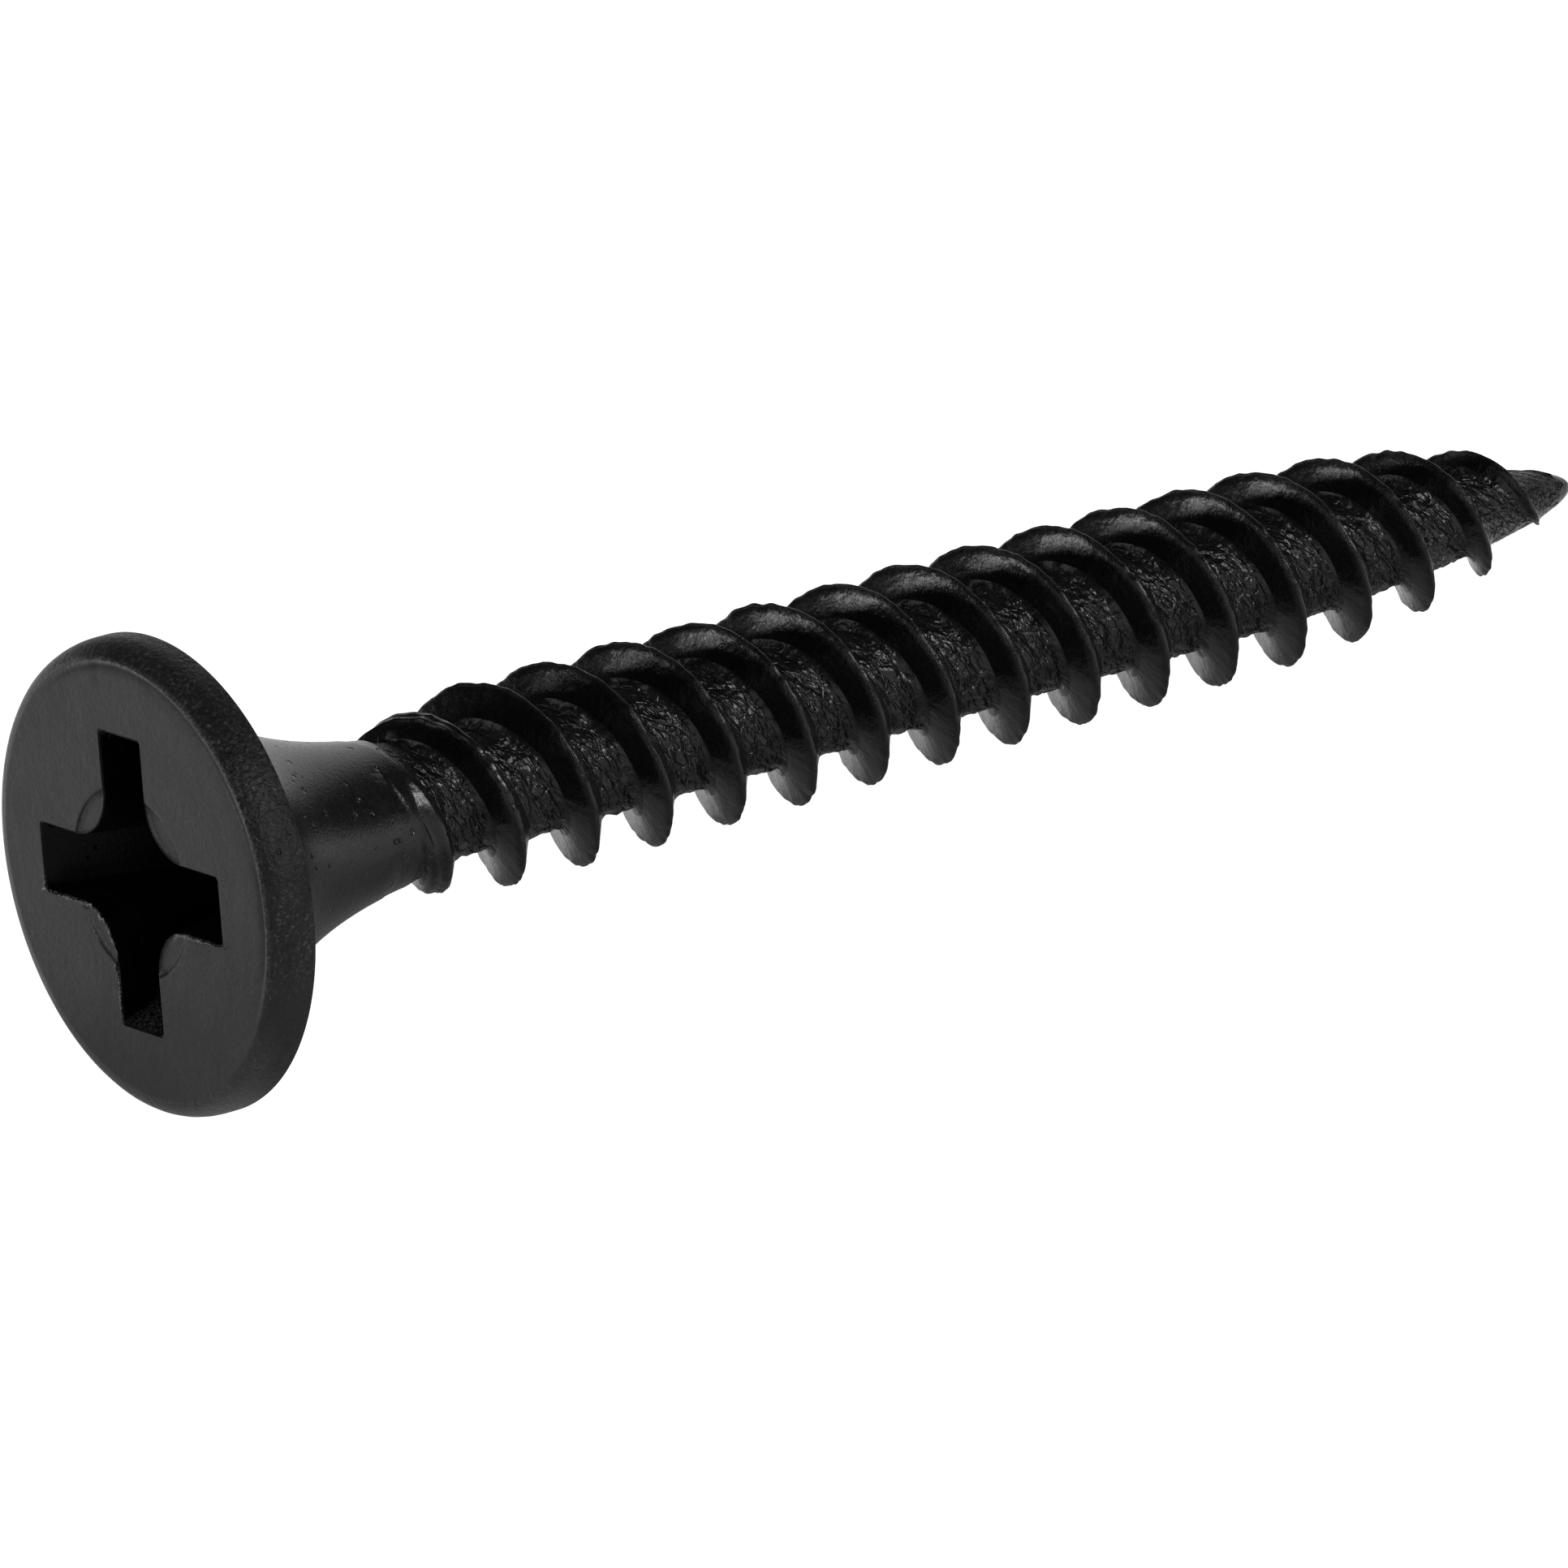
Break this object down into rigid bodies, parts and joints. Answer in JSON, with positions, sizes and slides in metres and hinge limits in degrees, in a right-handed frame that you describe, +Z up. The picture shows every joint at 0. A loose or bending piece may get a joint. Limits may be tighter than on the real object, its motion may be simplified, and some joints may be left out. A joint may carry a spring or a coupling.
{
  "type": "wood screw",
  "caption": "Black bugle-head wood screw with a cross recess, a coarse thread that runs nearly to the head, and a gimlet point.",
  "frame": {"origin": "centre of the head's flat face, on the screw's axis", "axes": "+X along the axis from the head to the gimlet point; +Z up, the way the screw lies on a table; +Y completes the frame"},
  "size_m": [0.0318, 0.0084, 0.0084],
  "materials": {
    "black_phosphate_steel": "black phosphate coating on steel, satin, with a dry fine grain"
  },
  "bodies": {
    "root": {"wood_screw": "black_phosphate_steel"}
  },
  "joints": []
}
